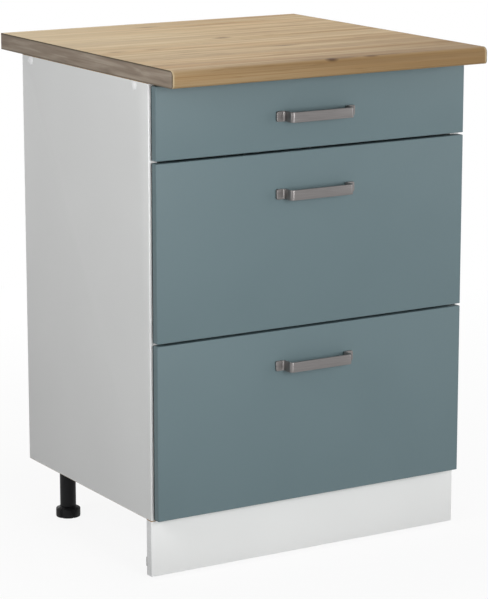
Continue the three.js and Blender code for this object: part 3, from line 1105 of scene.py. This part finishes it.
# one piece of like heads, each at its place and looking one way
def addHeads(name, kind, places, looks, body, material=zinc):
    joined = bmesh.new()
    turn = directions[looks].to_track_quat("Z", "Y").to_matrix().to_4x4()
    for place in places:
        head = headShape(kind)
        head.transform(Matrix.Translation(place) @ turn)
        mesh = bpy.data.meshes.new("head")
        head.to_mesh(mesh)
        head.free()
        joined.from_mesh(mesh)
        bpy.data.meshes.remove(mesh)
    addPiece(name, joined, (material,), body)


drawerFittingValues = {
    "handleScrews": 64 * mm,  # from the handle's middle: holes 128 mm apart
    "padFromSide": 8 * mm,
    "padFromEdge": 18 * mm,
    "tallSide": 100 * mm,  # a drawer side over this height has two cams an end, a lower one has one
    "tallLevels": (0.45, 0.85),  # shares of the side's height
    "lowLevels": (0.75,),
    "camFromEnd": 24 * mm,
    "screwFromEnd": 6 * mm,  # into the drawer's back
    "railScrewFromEnd": 35 * mm,
    "railSheet": 1.2 * mm,  # its thickness
}


def addDrawerFittings(name):
    v = drawerFittingValues
    body = f"{name}_drawer"
    frontLow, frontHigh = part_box(f"{name}_drawer_front")
    low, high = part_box(f"{name}_drawer_handle")
    level = (low.z + high.z) / 2
    screws = [(side * v["handleScrews"], frontHigh.y, level) for _, side in leftRight]
    addHeads(f"{name}_handle_screws", "pan", screws, "+Y", body)
    pads = [(x, frontHigh.y, z)
            for x in (frontLow.x + v["padFromSide"], frontHigh.x - v["padFromSide"])
            for z in (frontLow.z + v["padFromEdge"], frontHigh.z - v["padFromEdge"])]
    addHeads(f"{name}_front_pads", "pad", pads, "+Y", body, clearPad)
    for sideName, side in leftRight:
        inward, outward = ("-X", "+X") if side > 0 else ("+X", "-X")
        low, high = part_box(f"{name}_drawer_side_{sideName}")
        inner, outer = (low.x, high.x) if side > 0 else (high.x, low.x)
        shares = v["tallLevels"] if high.z - low.z > v["tallSide"] else v["lowLevels"]
        levels = [low.z + (high.z - low.z) * share for share in shares]
        cams = [(inner, low.y + v["camFromEnd"], z) for z in levels]
        addHeads(f"{name}_side_cams_{sideName}", "cam", cams, inward, body)
        screws = [(outer, high.y - v["screwFromEnd"], z) for z in levels]
        addHeads(f"{name}_side_screws_{sideName}", "flat", screws, outward, body)
        for rail, kind, railBody, faces in (
                ("drawer_rail", "pan", body, side), ("carcass_rail", "flat", "carcass", -side)):
            low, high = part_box(f"{name}_slide_{rail}_{sideName}")
            x = low.x + v["railSheet"] if faces > 0 else high.x - v["railSheet"]
            rows = (low.y + v["railScrewFromEnd"], (low.y + high.y) / 2, high.y - v["railScrewFromEnd"])
            screws = [(x, y, (low.z + high.z) / 2) for y in rows]
            looks = "+X" if faces > 0 else "-X"
            addHeads(f"{name}_{rail}_screws_{sideName}", kind, screws, looks, railBody)


carcassFittingValues = {
    "pinPitch": 90 * mm,
    "pinFromEdge": 7 * mm,
    "camFromSide": 24 * mm,
    "camFromEdge": 48 * mm,
    "flangeScrews": 22 * mm,  # from the leg's middle
    "clipPlate": 3 * mm,  # its thickness
    "clipScrew": (12 * mm, 13 * mm),  # across and up from the clip's middle
}


def spread(start, end, pitch):  # even places from start to end, about a pitch apart
    count = round((end - start) / pitch)
    return [start + (end - start) * i / count for i in range(count + 1)]


def addCarcassFittings():
    v = carcassFittingValues
    low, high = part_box("back_panel")
    edge = v["pinFromEdge"]
    ends, levels = (low.x + edge, high.x - edge), (low.z + edge, high.z - edge)
    pins = [(x, high.y, z) for x in spread(*ends, v["pinPitch"]) for z in levels]
    pins += [(x, high.y, z) for x in ends for z in spread(*levels, v["pinPitch"])[1:-1]]
    addHeads("back_panel_pins", "pin", sorted(pins), "+Y", "carcass")
    low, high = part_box("bottom_panel")
    cams = [(x, y, high.z)
            for x in (low.x + v["camFromSide"], high.x - v["camFromSide"])
            for y in (low.y + v["camFromEdge"], high.y - v["camFromEdge"])]
    addHeads("bottom_panel_cams", "cam", cams, "+Z", "carcass")
    screws = []
    for place in frontRear:
        for name, _ in leftRight:
            low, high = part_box(f"leg_tube_{place}_{name}")
            middle = (low + high) / 2
            for quarter in range(4):
                angle = math.pi / 4 + quarter * math.pi / 2
                screws.append((middle.x + v["flangeScrews"] * math.cos(angle),
                               middle.y + v["flangeScrews"] * math.sin(angle),
                               high.z - legValues["flangeThickness"]))
    addHeads("leg_flange_screws", "pan", screws, "-Z", "carcass")
    across, up = v["clipScrew"]
    screws = []
    for name, _ in leftRight:
        low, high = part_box(f"plinth_clip_{name}")
        middle = (low + high) / 2
        screws += [(middle.x + s * across, low.y + v["clipPlate"], middle.z + s * up) for s in (-1, 1)]
    addHeads("plinth_clip_screws", "pan", screws, "+Y", "carcass")
    screws = []
    for rail in ("top_rail_front", "top_rail_rear"):
        low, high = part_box(rail)
        screws += [(x / 2, (low.y + high.y) / 2, low.z) for x in (low.x, high.x)]
    addHeads("worktop_screws", "pan", screws, "-Z", "carcass")


addCaps()
for drawerName in drawerNames:
    addDrawerFittings(drawerName)
addCarcassFittings()
print("caps, screws, pads and pins made")


lightValues = {
    "world": 0.26,
    "floor": "#f7f7f7",  # as the camera and mirrors see it
    "floorBounce": "#b4b4b4",  # as it lights the cabinet
    "floorReach": 30,  # metres from the middle
    # plain white's share, by the distance from the middle in metres
    "floorGlow": {"From Min": 0.5, "From Max": 2, "To Min": 0.9},
    "aim": (0, 0, 0.45),
}
lampValues = {  # place in metres, width and height in metres, power in watts
    "sideLamp": ((-1.5, -0.47, 1.2), (0.4, 0.8), 7.2),
    "frontLamp": ((-0.28, -2.8, 0.95), (0.7, 1.2), 36.5),
    "fillLamp": ((2.5, -1.9, 0.9), (0.7, 1.2), 14),
    "topLamp": ((0.1, 0.25, 2.0), (0.8, 0.8), 8),
    "rearLamp": ((0.2, 2.2, 0.42), (0.7, 0.7), 12),  # these two stand lower than the worktop
    "rightLamp": ((2.3, 0.25, 0.42), (0.7, 0.7), 8),
}


def seenDirectly(tree):  # 1 for rays from the camera, from metal or through glass
    path = addNode(tree, "LightPath", {}).outputs
    larger = {"operation": "MAXIMUM"}
    either = addNode(tree, "Math", larger, {0: path["Is Camera Ray"], 1: path["Is Glossy Ray"]})
    return addNode(tree, "Math", larger, {0: either, 1: path["Is Transmission Ray"]})


def addStage():
    v = lightValues
    shape = bmesh.new()
    bmesh.ops.create_grid(shape, x_segments=1, y_segments=1, size=v["floorReach"])
    mesh = bpy.data.meshes.new("floor")
    shape.to_mesh(mesh)
    shape.free()
    floor = bpy.data.objects.new("floor", mesh)
    bpy.context.scene.collection.objects.link(floor)
    material = bpy.data.materials.new("paleFloor")
    material.use_nodes = True
    tree = material.node_tree
    tree.nodes.clear()
    seen = seenDirectly(tree)
    metres = patternSpace(tree, (1000, 1000, 1000))
    away = addNode(tree, "VectorMath", {"operation": "LENGTH"}, {0: metres})
    glow = addNode(tree, "MapRange", v["floorGlow"], {"Value": away})
    share = addNode(tree, "Math", {"operation": "MULTIPLY"}, {0: glow, 1: seen})
    tones = {"data_type": "RGBA", 6: linear(v["floorBounce"]), 7: linear(v["floor"])}
    lit = addNode(tree, "BsdfDiffuse", {}, {"Color": addNode(tree, "Mix", tones, {0: seen})})
    plain = addNode(tree, "Emission", {"Color": [1, 1, 1, 1], "Strength": 1})
    mixed = addNode(tree, "MixShader", {}, {0: share, 1: lit, 2: plain})
    addNode(tree, "OutputMaterial", {}, {"Surface": mixed})
    mesh.materials.append(material)


def addWorld():
    world = bpy.data.worlds.new("studio")
    world.use_nodes = True
    tree = world.node_tree
    tree.nodes.clear()
    faint = {"To Min": lightValues["world"]}  # as it lights the cabinet
    strength = addNode(tree, "MapRange", faint, {"Value": seenDirectly(tree)})
    sky = addNode(tree, "Background", {"Color": [1, 1, 1, 1]}, {"Strength": strength})
    addNode(tree, "OutputWorld", {}, {"Surface": sky})
    bpy.context.scene.world = world


def addLamp(name, place, size, power):
    data = bpy.data.lights.new(name, "AREA")
    data.shape = "RECTANGLE"
    data.size, data.size_y = size
    data.energy = power
    lamp = bpy.data.objects.new(name, data)
    lamp.location = place
    ahead = Vector(lightValues["aim"]) - lamp.location
    lamp.rotation_euler = ahead.to_track_quat("-Z", "Y").to_euler()
    lamp.visible_camera = False
    bpy.context.scene.collection.objects.link(lamp)


addStage()
addWorld()
for lampName, (lampPlace, lampSize, lampPower) in lampValues.items():
    addLamp(lampName, lampPlace, lampSize, lampPower)
bpy.context.scene.view_settings.view_transform = "Standard"
print("stage and light made")
